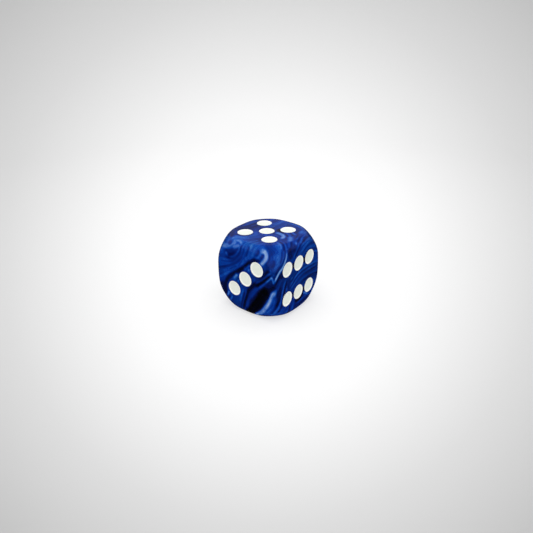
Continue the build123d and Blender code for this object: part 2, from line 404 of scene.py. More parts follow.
        (Tone.NAVY - 0.04, 0.8, ((4.8, 4.4), (4.9, 3), (4.6, 2.1)), 0.6, 0.6),
        (Tone.SKY + 0.04, 0.35, ((4.3, 2.5), (4.9, 2.15), (5.6, 1.8)), 0.7, 0.6),
        (Tone.SKY, 0.5, ((2.9, 1.7), (3.9, 1.3), (4.8, 0.8), (5.4, 0.2)), 0.5, 0.6),
        (Tone.NAVY - 0.04, 0.5, ((3.8, 1.9), (4.8, 1.5), (5.6, 1)), 0.6, 0.6),
        (Tone.SKY + 0.02, 1.0, ((5.2, 0.3), (5.9, -0.5), (6.7, -1.7)), 0.8, 0.6),
        (Tone.SKY - 0.05, 0.8, ((5.3, 4.5), (5.7, 3.7), (6, 2.9)), 0.6, 0.7),
        (Tone.AZURE, 0.9, ((-2.5, 1.4), (-1.9, 3), (-1.4, 5.4), (-1.6, 7)), 0.5, 0.7),
        (Tone.AZURE - 0.04, 0.8, ((1, 6.4), (3, 6.2), (5, 5.6)), 0.4, 0.7),
        (Tone.COBALT - 0.06, 0.8, ((-0.4, 3), (-0.2, 4.6), (-0.4, 6.4)), 0.4, 0.7),
        (Tone.SKY - 0.05, 0.8, ((-6.6, 0.4), (-6.3, 2), (-5.6, 3.4)), 0.4, 0.7),
        (Tone.AZURE, 0.7, ((-2, -1.7), (-1, -3), (-1.6, -4.6), (-2.8, -5.6), (-3.4, -6.6)), 0.45, 0.7),
        (Tone.NAVY - 0.06, 0.4, ((-2, -2.9), (-2, -4.2), (-2.9, -5.1), (-4, -5.2), (-4.6, -5)), 0.8, 0.5),
        (Tone.MIDNIGHT + 0.04, 0.9, ((-5, -5), (-4.6, -6), (-4.4, -6.8)), 0.5, 0.7),
        (Tone.SKY - 0.06, 0.5, ((1.3, -4.8), (0.9, -5.8), (0.3, -7)), 0.5, 0.7),
        (Tone.SKY, 0.5, ((-2.5, -7.2), (-1.6, -7.3), (-0.9, -7.9)), 0.6, 0.6),
        (Tone.SKY - 0.08, 0.3, ((3, -5.3), (3.05, -7.6)), 0.5, 0.6),
        (Tone.SKY - 0.05, 0.5, ((-4.9, -6.8), (-4.4, -7.2)), 0.5, 0.7),
        (Tone.COBALT, 0.7, ((4.6, -5.6), (5.6, -6), (7, -6.2), (8, -6.6)), 0.6, 0.6),
        (Tone.COBALT - 0.04, 0.5, ((6.2, -4.4), (7.2, -4.8), (8.2, -5.6)), 0.5, 0.6),
        (Tone.NAVY, 0.28, ((4.9, -2), (6, -2.4), (7.2, -3.1), (8.3, -3.9)), 0.75, 0.5),
        (Tone.AZURE, 0.28, ((4.8, -2.4), (6, -2.8), (7.2, -3.6), (8.2, -4.4)), 0.6, 0.5),
        (Tone.MIDNIGHT, 0.28, ((5.2, -2.9), (6.4, -3.5), (7.6, -4.3), (8.2, -4.8)), 0.7, 0.5),
        (Tone.SKY - 0.03, 0.32, ((5, -3.4), (6.2, -4), (7.4, -5)), 0.65, 0.5),
        (Tone.AZURE + 0.05, 0.3, ((6.2, -1.7), (7.2, -2.4), (8.2, -3.2)), 0.6, 0.5),
        (Tone.NAVY - 0.05, 0.3, ((6.9, -1.3), (7.6, -2), (8.4, -2.7)), 0.7, 0.5),
        (Tone.NAVY - 0.04, 0.35, ((6.9, 3.4), (7, 2), (7.4, 0.8), (8.2, -0.3)), 0.7, 0.5),
        (Tone.AZURE, 0.3, ((7.2, 3.4), (7.4, 2.2), (7.9, 1.1)), 0.6, 0.5),
        (Tone.NAVY - 0.04, 0.3, ((7.6, 3.6), (7.8, 2.4), (8.3, 1.5)), 0.6, 0.5),
        (Tone.AZURE, 0.3, ((6.8, 1), (7.2, -0.2), (8, -1.3)), 0.6, 0.5),
        # painted reflection: a broad soft pale patch on the same rounded corner, seen from this side
        (Tone.SKY, 2.2, ((-8, -7), (-7.2, -6.4)), 0.6, 0.7),
    ),
    *strokes(
        Side.ONE,
        (Tone.AZURE, 0.6, ((9, 2), (6, 1.5), (3, 2.6), (0, 3.4), (-3, 2.6), (-6, 3), (-9, 4.4)), 0.6, 0.6),
        (
            Tone.MIDNIGHT, 0.8,
            ((9, 0.5), (6, 0.2), (3, 1.4), (0.4, 2.3), (-2.6, 1.4), (-5.6, 1.2), (-9, 2)),
            0.75, 0.5,
        ),
        (Tone.SKY, 0.4, ((6.6, 0.9), (4, 1.7), (2, 2.6)), 0.6, 0.6),
        (
            Tone.NAVY - 0.05, 0.4,
            ((9, 3.2), (5.6, 2.7), (2.6, 3.8), (-0.4, 4.5), (-3.6, 3.7), (-6.6, 4.2), (-9, 5.6)),
            0.6, 0.5,
        ),
        (
            Tone.INK, 2.2,
            ((7, -4.9), (4.4, -4), (2, -4.8), (-0.6, -5.2), (-3, -4.2), (-4.6, -5.6), (-5.2, -8.6)),
            0.95, 0.4,
        ),
        (
            Tone.SKY + 0.02, 0.8,
            (
                (9, -2.8), (6.4, -2.2), (4, -1.6), (2.2, -2.6), (0.6, -3.2), (-1.4, -2.7), (-3.6, -1.2),
                (-5.4, -1.8), (-7, -3.6), (-8.8, -6),
            ),
            0.85, 0.5,
        ),
        (Tone.PALE, 0.3, ((6, -2.1), (4, -1.5), (2, -2.6), (0, -3.1)), 0.6, 0.5),
        (Tone.MIDNIGHT, 0.6, ((8.6, -1.4), (6, -0.9), (4, -0.4), (2.6, -1.2)), 0.7, 0.5),
        (
            Tone.AZURE, 0.35,
            ((8.4, -7), (5, -6.4), (2.4, -6.9), (-0.6, -6.9), (-2.6, -6.4), (-3.6, -8.6)),
            0.6, 0.6,
        ),
        (Tone.NAVY - 0.05, 0.4, ((7, -8), (4.4, -7.4), (2, -7.8), (-1, -7.8)), 0.6, 0.6),
        (Tone.PALE, 0.85, ((-6.6, 8.6), (-5.6, 6.9), (-3.8, 6.1), (-2.2, 6.7), (-2, 7.9)), 0.85, 0.5),
        (Tone.NAVY - 0.06, 0.6, ((-4.6, 7.7), (-3.6, 7.1), (-3, 7.7)), 0.8, 0.5),
        (
            Tone.AZURE, 0.35,
            ((-7.8, 8.2), (-6.6, 6.2), (-4.4, 5.1), (-1.6, 5.5), (-0.6, 7.2), (-0.8, 8.6)),
            0.6, 0.6,
        ),
        (Tone.AZURE, 0.3, ((3, 8.6), (2.6, 6.7), (3.6, 5.2), (5.6, 4.4), (8.4, 4.6)), 0.6, 0.6),
        (Tone.NAVY - 0.06, 0.4, ((4, 8.6), (3.7, 7), (4.8, 5.8), (7.6, 5.6)), 0.6, 0.5),
        (Tone.SKY, 0.4, ((5.4, 8.4), (5.2, 7.2), (6.4, 6.6), (8.4, 7)), 0.6, 0.6),
        (Tone.AZURE, 0.4, ((-8.6, 0.4), (-6.4, -0.1), (-4.6, 0.3), (-2.6, 0.4)), 0.55, 0.6),
        (Tone.SKY, 0.3, ((-8.6, -0.8), (-6.6, -1.4), (-5, -0.8)), 0.55, 0.6),
    ),
    *strokes(
        Side.TWO,
        (Tone.INK, 2.5, ((1.2, 9), (0.6, 6), (-0.6, 3.6), (-0.4, 1.2), (1, -0.8)), 0.95, 0.4),
        (
            Tone.SKY + 0.02, 0.8,
            ((2.8, 8.8), (2, 6.4), (1, 4), (1, 2), (2.4, 0.4), (4.6, -0.2), (6.6, 0.7), (8.8, 0.4)),
            0.85, 0.5,
        ),
        (Tone.PALE, 0.3, ((1.8, 6), (1, 4), (1.1, 2), (2.4, 0.5)), 0.6, 0.5),
        (Tone.NAVY - 0.06, 0.6, ((-1.2, 8.6), (-1.4, 6.4), (-1.3, 4.8)), 0.7, 0.5),
        (Tone.AZURE, 0.3, ((-2, 8.6), (-2.4, 6.6), (-2.1, 5.2)), 0.6, 0.6),
        (Tone.SKY, 0.35, ((-4.8, 8.4), (-5, 6.6), (-4.2, 5)), 0.6, 0.6),
        (Tone.PALE, 0.75, ((-8.8, -3), (-6.6, -2.4), (-5, -3.6), (-4.6, -5.4), (-5.8, -6.4)), 0.8, 0.5),
        (Tone.NAVY - 0.06, 0.7, ((-8, -4.6), (-6.6, -4), (-6, -5)), 0.8, 0.5),
        (
            Tone.AZURE, 0.45,
            ((-8.8, -0.6), (-6, -0.4), (-3.6, -1.6), (-2, -3.6), (-1.6, -6), (-2.4, -9)),
            0.6, 0.6,
        ),
        (
            Tone.MIDNIGHT, 0.6,
            ((-8.8, 0.5), (-5.6, 0.8), (-2.8, -0.6), (-1, -3), (-0.6, -6), (-1.2, -9)),
            0.75, 0.5,
        ),
        (Tone.SKY, 0.35, ((-8.4, 2), (-6.4, 2.2), (-5.2, 1.4)), 0.6, 0.6),
        (Tone.SKY, 0.3, ((-0.2, -9), (0.4, -6.4), (0.4, -4), (-0.2, -1.8)), 0.6, 0.6),
        (Tone.MIDNIGHT, 0.5, ((0.8, -9), (1.2, -6.4), (1.1, -4)), 0.6, 0.5),
        (Tone.AZURE, 0.45, ((8.8, 2.4), (6.6, 2.8), (4.8, 4), (3.8, 6), (4, 8.8)), 0.6, 0.6),
        (Tone.NAVY - 0.06, 0.6, ((8.8, 3.6), (6.8, 4), (5.4, 5.4), (5.2, 8.6)), 0.7, 0.5),
        (Tone.SKY, 0.4, ((8.6, 5), (7.2, 5.6), (6.6, 8.2)), 0.55, 0.6),
        (Tone.SKY, 0.6, ((8.6, -2.4), (6.6, -2.2), (5.4, -3.6), (5, -5.6), (5.8, -8.6)), 0.6, 0.6),
        (Tone.MIDNIGHT, 0.5, ((8.6, -3.6), (7, -3.4), (6.2, -5), (6.8, -8.4)), 0.65, 0.5),
        (Tone.AZURE, 0.35, ((2.4, -8.8), (2.6, -7), (3.6, -5.4)), 0.6, 0.6),
    ),
    *strokes(
        Side.FOUR,
        (
            Tone.SKY, 0.5,
            ((-9, 0.9), (-6.6, 1), (-4.6, 0.6), (-2.6, -0.5), (-0.6, -0.7), (1.6, 0.2), (3.6, 1), (6, 0.6), (9, 1.2)),
            0.65, 0.6,
        ),
        (
            Tone.AZURE, 0.45,
            ((-9, -0.4), (-6.4, -0.4), (-4.4, -1), (-2, -2), (0.4, -2), (2.4, -1), (5, -0.6), (9, -1)),
            0.6, 0.6,
        ),
        (
            Tone.MIDNIGHT, 0.6,
            ((-8.4, 0.3), (-5, 0.2), (-2.6, -1.2), (0.2, -1.4), (2.6, -0.3), (5.6, 0), (8.6, 0.1)),
            0.7, 0.5,
        ),
        (Tone.INK, 2.2, ((6.9, 8.6), (5.6, 6.4), (5.7, 4), (6.8, 2.4)), 0.95, 0.4),
        (Tone.SKY, 0.6, ((4.6, 8.8), (4.3, 6.8), (4.9, 4.9)), 0.75, 0.5),
        (Tone.PALE, 0.55, ((-1.2, 9), (-0.6, 6.6), (0.4, 4.8), (0.9, 3), (0.3, 1.5), (-0.9, 0.5)), 0.8, 0.5),
        (Tone.NAVY - 0.08, 0.7, ((-0.2, 8.8), (0.6, 6.6), (1.4, 4.6), (1.5, 2.6)), 0.75, 0.5),
        (Tone.AZURE, 0.35, ((-2.6, 8.6), (-2, 6.6), (-0.9, 4.6), (-0.4, 2.6)), 0.6, 0.6),
        (Tone.NAVY - 0.05, 0.4, ((-3.6, 8.6), (-3, 6.4), (-1.5, 5.2)), 0.6, 0.6),
        (Tone.SKY, 0.4, ((-8.6, 6.6), (-6.6, 6), (-5.4, 4.6), (-5.4, 2.6), (-6.6, 1.8)), 0.6, 0.6),
        (Tone.MIDNIGHT, 0.45, ((-8.6, 5.4), (-7, 5), (-6.3, 3.8)), 0.6, 0.6),
        (
            Tone.SKY + 0.02, 0.7,
            ((-4, -8.6), (-4.4, -6.6), (-3, -5.4), (-1.2, -5.8), (-0.6, -7.2), (-1.6, -8.2)),
            0.8, 0.5,
        ),
        (Tone.AZURE, 0.35, ((-6, -8.6), (-6.2, -6.2), (-5, -4.6)), 0.6, 0.6),
        (Tone.NAVY - 0.06, 0.5, ((-3, -8), (-2.9, -6.8), (-1.9, -6.8)), 0.75, 0.5),
        (Tone.MIDNIGHT, 0.6, ((-7.4, -8.4), (-7.2, -5.6), (-5.6, -3.6), (-5.2, -1.8)), 0.65, 0.5),
        (Tone.AZURE, 0.4, ((-8.8, -4.4), (-7.4, -3), (-6.8, -1.6)), 0.55, 0.6),
        (Tone.AZURE, 0.35, ((1, -8.6), (1.4, -6), (3, -5.2), (5.4, -5.6), (8.8, -4.6)), 0.6, 0.6),
        (Tone.SKY, 0.4, ((2, -8.6), (2.6, -6.8), (4.4, -6.4), (6.6, -6.8), (8.8, -6)), 0.6, 0.6),
        (Tone.NAVY - 0.06, 0.5, ((0.2, -8.4), (0.4, -5.6), (1, -3.6), (0.8, -2.6)), 0.65, 0.5),
        (Tone.MIDNIGHT, 0.45, ((1.5, -8.4), (2, -6.3), (3.8, -5.8), (6, -6.2), (8.8, -5.2)), 0.6, 0.5),
        (Tone.SKY, 0.35, ((5.3, -2.6), (6.6, -3), (8.6, -2.6)), 0.6, 0.6),
    ),
]


# ---------------------------------------------------------------------------------------------------------
# Laying the strokes on the body


def unit(vectors: np.ndarray) -> np.ndarray:
    """Vectors of length one."""
    return vectors / np.linalg.norm(vectors, axis=-1, keepdims=True)


def eased(share: np.ndarray) -> np.ndarray:
    """A share cut to 0 to 1 and eased at both ends."""
    share = np.clip(share, 0, 1)
    return share * share * (3 - 2 * share)


def evened(values: np.ndarray) -> np.ndarray:
    """Values brought to a mean of a half and a reach of about 0 to 1."""
    return np.clip(0.5 + (values - values.mean()) / (5 * values.std()), 0, 1)


def smooth_line(path: Path, spacing: float = 0.25) -> np.ndarray:
    """Points along a smooth line through a path's points.

    Args:
        path: the points, in millimetres on a side.
        spacing: about how far apart the samples are.

    Returns:
        The samples, one row each.
    """
    points = np.asarray(path, float)
    ends = np.vstack([2 * points[0] - points[1], points, 2 * points[-1] - points[-2]])
    pieces = []
    for i in range(1, len(ends) - 2):
        a, b, c, d = ends[i - 1 : i + 3]
        count = max(2, int(np.linalg.norm(c - b) / spacing) + 1)
        t = np.linspace(0, 1, count, endpoint=False)[:, None]
        pieces.append(
            0.5 * (2 * b + (c - a) * t + (2 * a - 5 * b + 4 * c - d) * t**2 + (3 * b - a - 3 * c + d) * t**3)
        )
    return np.vstack([*pieces, points[-1:]])


@dataclass
class Grain:
    """Soft random values on a lattice in space."""

    cell: float
    seed: int
    size: int = 32
    table: np.ndarray = field(init=False)

    def __post_init__(self) -> None:
        """Draws the lattice's values."""
        self.table = np.random.default_rng(self.seed).random((self.size,) * 3)

    def at(self, points: np.ndarray) -> np.ndarray:
        """Reads the grain.

        Args:
            points: places in space.

        Returns:
            The value at each point, 0 to 1.
        """
        place = points / self.cell
        corner = np.floor(place).astype(int)
        part = eased(place - corner)
        total = np.zeros(len(points))
        for step in np.ndindex(2, 2, 2):
            weight = np.prod(np.where(step, part, 1 - part), axis=1)
            x, y, z = ((corner + step) % self.size).T
            total += weight * self.table[x, y, z]
        return total


@dataclass
class Skin:
    """The die's bare surface, in millimetres from the die's middle."""

    body: bpy.types.Object
    middle: Vector
    tree: BVHTree = field(init=False)

    def __post_init__(self) -> None:
        """Readies the surface for rays."""
        self.tree = BVHTree.FromObject(self.body, bpy.context.evaluated_depsgraph_get())

    def reach(self, ways: np.ndarray) -> np.ndarray:
        """How far out the surface lies along unit vectors."""
        hits = (self.tree.ray_cast(self.middle, Vector(way)) for way in ways)
        return np.array([hit[3] for hit in hits]) / MM

    def laid(self, stroke: Stroke) -> np.ndarray:
        """Lays a stroke on the surface.

        Args:
            stroke: the stroke.

        Returns:
            Its samples, one row each.
        """
        flat = smooth_line(stroke.path)
        side = stroke.side
        ways = unit(flat[:, :1] * side.right + flat[:, 1:] * side.up + self.middle.z / MM * side.outward)
        return ways * self.reach(ways)[:, None]


@dataclass
class Flow:
    """Which way the pigment was drawn at each place on the die, read from the strokes."""

    lines: list[np.ndarray]
    skin: Skin
    cells: int = 64
    blur: float = 0.22
    batch: int = 2000  # cells worked out at once

    def __post_init__(self) -> None:
        """Works out the way of the flow and the surface's reach in each cell of a grid on the six sides."""
        steps = (np.arange(self.cells) + 0.5) / self.cells * 2 - 1
        across, upward = np.meshgrid(steps, steps)
        ways = unit(
            np.concatenate(
                [
                    (across[..., None] * side.right + upward[..., None] * side.up + side.outward).reshape(-1, 3)
                    for side in Side
                ]
            )
        )
        self.reach = self.skin.reach(ways)
        places = ways * self.reach[:, None]
        spans = [np.diff(line, axis=0) for line in self.lines]
        middles = np.vstack([(line[:-1] + line[1:]) / 2 for line in self.lines])
        along = unit(np.vstack(spans))
        length = np.linalg.norm(np.vstack(spans), axis=1)
        pulls = along[:, :, None] * along[:, None, :] * length[:, None, None]
        self.way = np.empty_like(places)
        for start in range(0, len(places), self.batch):
            block = slice(start, start + self.batch)
            away = ((places[block, None, :] - middles[None]) ** 2).sum(-1)
            weight = 1 / (away + self.blur**2) ** 2
            mixed = np.tensordot(weight, pulls, axes=1) / weight.sum(1)[:, None, None]
            level = np.eye(3) - ways[block, :, None] * ways[block, None, :]
            self.way[block] = np.linalg.eigh(level @ mixed @ level)[1][:, :, 2]

    def cell_of(self, points: np.ndarray) -> np.ndarray:
        """Finds the grid's cell that each point lies in.

        Args:
            points: places on the surface.

        Returns:
            The cells' numbers.
        """
        heights = np.stack([points @ side.outward for side in Side])
        nearest = heights.argmax(0)
        cells = np.empty(len(points), int)
        for number, side in enumerate(Side):
            here = nearest == number
            height = heights[number, here]
            x, y = (
                np.clip(((points[here] @ axis) / height + 1) / 2 * self.cells, 0, self.cells - 1).astype(int)
                for axis in (side.right, side.up)
            )
            cells[here] = (number * self.cells + y) * self.cells + x
        return cells

    def drawn_out(self, points: np.ndarray, grain: Grain, length: float, steps: int = 14) -> np.ndarray:
        """Grain averaged along the flow, which draws it out into streaks.

        Args:
            points: places on the surface.
            grain: what is drawn out.
            length: how far, in millimetres.
            steps: samples taken each way from a place.

        Returns:
            One value for each place, 0 to 1.
        """
        total = grain.at(points)
        for sense in (1, -1):
            spots, heading = points, None
            for _ in range(steps):
                cell = self.cell_of(spots)
                way = self.way[cell]
                if heading is None:
                    heading = way * sense
                heading = way * np.where((way * heading).sum(1, keepdims=True) < 0, -1, 1)
                spots = spots + heading * (length / 2 / steps)
                spots = unit(spots) * self.reach[self.cell_of(spots)][:, None]
                total += grain.at(spots)
        return evened(total)


@dataclass
class Marbling:
    """The resin's pattern: broad washes under finer streaks, feathered along their flow."""

    skin: Skin
    ground: float = 0.42
    finest: float = 0.4  # millimetres, the narrowest stroke that the mesh's grid carries cleanly
    broad: tuple[Grain, float, float] = (Grain(1.2, 3), 9.0, 0.14)  # grain, length drawn out, contrast
    middling: tuple[Grain, float, float] = (Grain(0.55, 2), 6.0, 0.18)
    fine: tuple[Grain, float, float] = (Grain(0.3, 1), 3.0, 0.1)
    fine_in_dark: float = 0.3  # how much of the fine streaks the darkest tone still shows
    middling_on_top: float = 0.08  # contrast over the strokes, as well as under them
    fold_streaks: tuple[float, float] = (0.12, 0.1)  # how far middling and broad streaks bend the fine layers
    end_taper: tuple[float, float] = (0.12, 0.5)  # share of a stroke that each end tapers over, least and most
    blunt_end: float = 0.15
    end_width: float = 0.45  # against the stroke's full width
    end_strength: float = 0.35
    raggedness: float = 0.5

    def lay(self, body: bpy.types.Object) -> None:
        """Gives the body's mesh its "tone", "fold" and "streak" values, one of each at every vertex.

        Args:
            body: the body.
        """
        lines = [self.skin.laid(stroke) for stroke in LINES]
        flow = Flow(lines, self.skin)
        places = (places_of(body) - np.array(self.skin.middle)) / MM
        layers = [flow.drawn_out(places, grain, length) - 0.5 for grain, length, _ in self.sizes()]
        broad, middling, fine = layers
        tone = np.full(len(places), self.ground)
        self.paint(tone, places, WASHES, [self.skin.laid(stroke) for stroke in WASHES], middling)
        tone += broad * self.broad[2] + middling * self.middling[2]
        self.paint(tone, places, LINES, lines, middling)
        fold = tone + middling * self.fold_streaks[0] + broad * self.fold_streaks[1]
        tone += fine * self.fine[2] * (self.fine_in_dark + tone) + middling * self.middling_on_top
        ends = np.empty(len(body.data.edges) * 2, np.int32)
        body.data.edges.foreach_get("vertices", ends)
        tone, fold = (settled(values, ends.reshape(-1, 2)) for values in (tone, fold))
        for name, values in (("tone", np.clip(tone, 0, 1)), ("fold", fold), ("streak", fine + 0.5)):
            body.data.attributes.new(name, "FLOAT", "POINT").data.foreach_set("value", values.astype(np.float32))

    def sizes(self) -> tuple[tuple[Grain, float, float], ...]:
        """The three sizes of streak, from broad to fine."""
        return self.broad, self.middling, self.fine

    def paint(
        self, tone: np.ndarray, places: np.ndarray, laid: list[Stroke], lines: list[np.ndarray], ragged: np.ndarray
    ) -> None:
        """Lays strokes over the tone, one after another.

        Args:
            tone: the tone at each place, which is changed.
            places: the places, in millimetres from the die's middle.
            laid: the strokes.
            lines: each stroke's samples on the surface.
            ragged: streaks, -0.5 to 0.5, that make the strokes' edges uneven.
        """
        for stroke, line in zip(laid, lines):
            middle = line.mean(0)
            extent = np.linalg.norm(line - middle, axis=1).max() + stroke.width + 1
            near = np.flatnonzero(((places - middle) ** 2).sum(1) < extent**2)
            away, along = nearest_on(line, places[near])
            length = np.linalg.norm(np.diff(line, axis=0), axis=1).sum()
            end = min(self.end_taper[1], max(self.end_taper[0], 0.5 * stroke.width / length))
            taper = eased(np.minimum(along, 1 - along) / end + self.blunt_end)
            swell = (1 + self.raggedness * ragged[near]) * (self.end_width + (1 - self.end_width) * taper)
            half = stroke.width / 2 * swell
            drawn = np.maximum(half, self.finest / 2)
            cover = 1 - eased((away / drawn - 1 + stroke.softness) / (2 * stroke.softness))
            cover *= stroke.strength * (self.end_strength + (1 - self.end_strength) * taper) * np.sqrt(half / drawn)
            tone[near] += (stroke.tone - tone[near]) * cover


def settled(values: np.ndarray, ends: np.ndarray, rounds: int = 1) -> np.ndarray:
    """Values evened out between neighbours, so that slanting streaks don't show the mesh's grid.

    Args:
        values: one for each vertex.
        ends: the two vertices of each edge.
        rounds: how often to average.

    Returns:
        The evened values.
    """
    count = np.bincount(ends.ravel(), minlength=len(values)) + 1
    for _ in range(rounds):
        total = values.copy()
        for one, other in ((0, 1), (1, 0)):
            total += np.bincount(ends[:, one], values[ends[:, other]], len(values))
        values = total / count
    return values


def nearest_on(line: np.ndarray, places: np.ndarray) -> tuple[np.ndarray, np.ndarray]:
    """How far places lie from a line, and how far along it the nearest spot is.

    Args:
        line: the line's points.
        places: where to measure from.

    Returns:
        The distances, and shares of the line from 0 to 1.
    """
    best, along = np.full(len(places), np.inf), np.zeros(len(places))
    for number, (start, end) in enumerate(zip(line, line[1:])):
        span = end - start
        share = np.clip((places - start) @ span / max(span @ span, 1e-12), 0, 1)
        away = np.linalg.norm(places - start - share[:, None] * span, axis=1)
        closer = away < best
        best[closer] = away[closer]
        along[closer] = (number + share[closer]) / (len(line) - 1)
    return best, along


# ---------------------------------------------------------------------------------------------------------
# Finishes


class Wiring:
    """A node tree with short ways to add a node and to join two."""

    def __init__(self, tree: bpy.types.NodeTree) -> None:
        """Takes the tree to work on."""
        self.tree = tree

    def add(self, kind: str, inputs: dict[str | int, object] | None = None, **settings: object) -> bpy.types.Node:
        """Adds a node.

        Args:
            kind: the node's type.
            inputs: values for its sockets, or sockets to join to them.
            settings: values for its own properties.

        Returns:
            The node.
        """
        node = self.tree.nodes.new(kind)
        for name, value in settings.items():
            setattr(node, name, value)
        for socket, value in (inputs or {}).items():
            if isinstance(value, bpy.types.NodeSocket):
                self.tree.links.new(value, node.inputs[socket])
            else:
                node.inputs[socket].default_value = value
        return node

    def math(self, operation: str, *values: object, clamp: bool = False) -> bpy.types.NodeSocket:
        """A Math node's result."""
        return self.add("ShaderNodeMath", dict(enumerate(values)), operation=operation, use_clamp=clamp).outputs[0]

    def ramp(self, share: bpy.types.NodeSocket, stops: Sequence[tuple[float, tuple]]) -> bpy.types.NodeSocket:
        """A colour ramp's colour.

        Args:
            share: what the ramp is read at.
            stops: each stop's place and colour.

        Returns:
            The colour.
        """
        node = self.add("ShaderNodeValToRGB", {0: share})
        ramp = node.color_ramp
        while len(ramp.elements) < len(stops):
            ramp.elements.new(1.0)
        for element, (place, _) in zip(ramp.elements, sorted(stops)):
            element.position = place
        for element, (_, colour) in zip(ramp.elements, sorted(stops)):
            element.color = colour
        return node.outputs["Color"]

    def tinted(self, colour: bpy.types.NodeSocket, tint: bpy.types.NodeSocket, share: float) -> bpy.types.NodeSocket:
        """A colour multiplied by another, in a share."""
        inputs = {0: share, 6: colour, 7: tint}
        return self.add("ShaderNodeMix", inputs, data_type="RGBA", blend_type="MULTIPLY").outputs[2]

    def noise(
        self, where: bpy.types.NodeSocket, scale: float, detail: float = 3, roughness: float = 0.55
    ) -> bpy.types.NodeSocket:
        """A noise texture's value."""
        inputs = {"Vector": where, "Scale": scale, "Detail": detail, "Roughness": roughness}
        return self.add("ShaderNodeTexNoise", inputs).outputs[0]


def group(
    name: str, inputs: Sequence[tuple[str, str, float | None]], outputs: Sequence[tuple[str, str]]
) -> bpy.types.NodeTree:
    """A shader node group with named sockets.

    Args:
        name: the group's name.
        inputs: each input's name, socket type and first value.
        outputs: each output's name and socket type.

    Returns:
        The group's node tree.
    """
    tree = bpy.data.node_groups.new(name, "ShaderNodeTree")
    for label, kind, value in inputs:
        socket = tree.interface.new_socket(label, in_out="INPUT", socket_type=kind)
        if value is not None:
            socket.default_value = value
    for label, kind in outputs:
        tree.interface.new_socket(label, in_out="OUTPUT", socket_type=kind)
    return tree


def emptied(owner: bpy.types.Material | bpy.types.World) -> Wiring:
    """Readies a material or a world for its own nodes.

    Args:
        owner: the material or world, whose nodes are cleared.

    Returns:
        Its node tree.
    """
    owner.use_nodes = True
    owner.node_tree.nodes.clear()
    return Wiring(owner.node_tree)


@dataclass(frozen=True)
class HandlingWear:
    """Smudges and hairline scuffs from handling, as a change of roughness and a height."""

    smudge_scale: float = 260
    scuff_scale: tuple[float, float, float] = (220, 6200, 900)  # long one way and thin the others
    scuff_turn: tuple[float, float, float] = (0.5, 0.9, 0.3)
    scuff_rarity: float = 0.73
    scuff_haze: float = 0.6
    scuff_depth: float = 0.5
    pore_scale: float = 5200
    pore_height: float = 0.35

    def nodes(self) -> bpy.types.NodeTree:
        """Makes the node group that every finish shares.

        Returns:
            The node group.
        """
        tree = group(
            "handling_wear",
            [
                ("Place", "NodeSocketVector", None),
                ("Roughness", "NodeSocketFloat", 0.1),
                ("Amount", "NodeSocketFloat", 0.05),
            ],
            [("Roughness", "NodeSocketFloat"), ("Height", "NodeSocketFloat")],
        )
        wiring = Wiring(tree)
        given = wiring.add("NodeGroupInput").outputs
        smudges = wiring.noise(given["Place"], self.smudge_scale, 4, 0.6)
        mapping = {"Vector": given["Place"], "Rotation": self.scuff_turn, "Scale": self.scuff_scale}
        stretched = wiring.add("ShaderNodeMapping", mapping).outputs[0]
        scuffs = wiring.math("GREATER_THAN", wiring.noise(stretched, 1, 1, 0.4), self.scuff_rarity)
        pores = wiring.math("MULTIPLY", wiring.noise(given["Place"], self.pore_scale, 2, 0.5), self.pore_height)
        haze = wiring.math("MULTIPLY", scuffs, self.scuff_haze)
        change = wiring.math("ADD", wiring.math("SUBTRACT", smudges, 0.5), haze)
        rough = wiring.math("MULTIPLY_ADD", change, given["Amount"], given["Roughness"], clamp=True)
        height = wiring.math("MULTIPLY_ADD", scuffs, -self.scuff_depth, pores)
        wiring.add("NodeGroupOutput", {"Roughness": rough, "Height": height})
        return tree


@dataclass(frozen=True)
class Finish(ABC):
    """What every finish has: a name, a gloss, wear from handling and a light relief."""

    name: str
    roughness: float
    wear: float
    refraction: float
    relief: float
    relief_height: float

    @abstractmethod
    def coloured(
        self, wiring: Wiring, place: bpy.types.NodeSocket
    ) -> tuple[bpy.types.NodeSocket, bpy.types.NodeSocket, float]:
        """Wires the finish's own colour.

        Args:
            wiring: the material's node tree.
            place: the place in the die's own space.

        Returns:
            The colour, the grain that the surface follows, and how strongly.
        """

    def material(self, wear: bpy.types.NodeTree) -> bpy.types.Material:
        """Makes the material.

        Args:
            wear: the node group of handling wear.

        Returns:
            The material.
        """
        made = bpy.data.materials.new(self.name)
        wiring = emptied(made)
        place = wiring.add("ShaderNodeTexCoord").outputs["Object"]
        colour, grain, coarseness = self.coloured(wiring, place)
        handled = {"Place": place, "Roughness": self.roughness, "Amount": self.wear}
        worn = wiring.add("ShaderNodeGroup", handled, node_tree=wear)
        height = wiring.math("MULTIPLY_ADD", grain, coarseness, worn.outputs["Height"])
        bump = wiring.add(
            "ShaderNodeBump", {"Height": height, "Strength": self.relief, "Distance": self.relief_height}
        )
        look = {"IOR": self.refraction, "Base Color": colour, "Normal": bump.outputs[0]}
        shader = wiring.add("ShaderNodeBsdfPrincipled", {**look, "Roughness": worn.outputs["Roughness"]})
        wiring.add("ShaderNodeOutputMaterial", {"Surface": shader.outputs[0]})
        return made


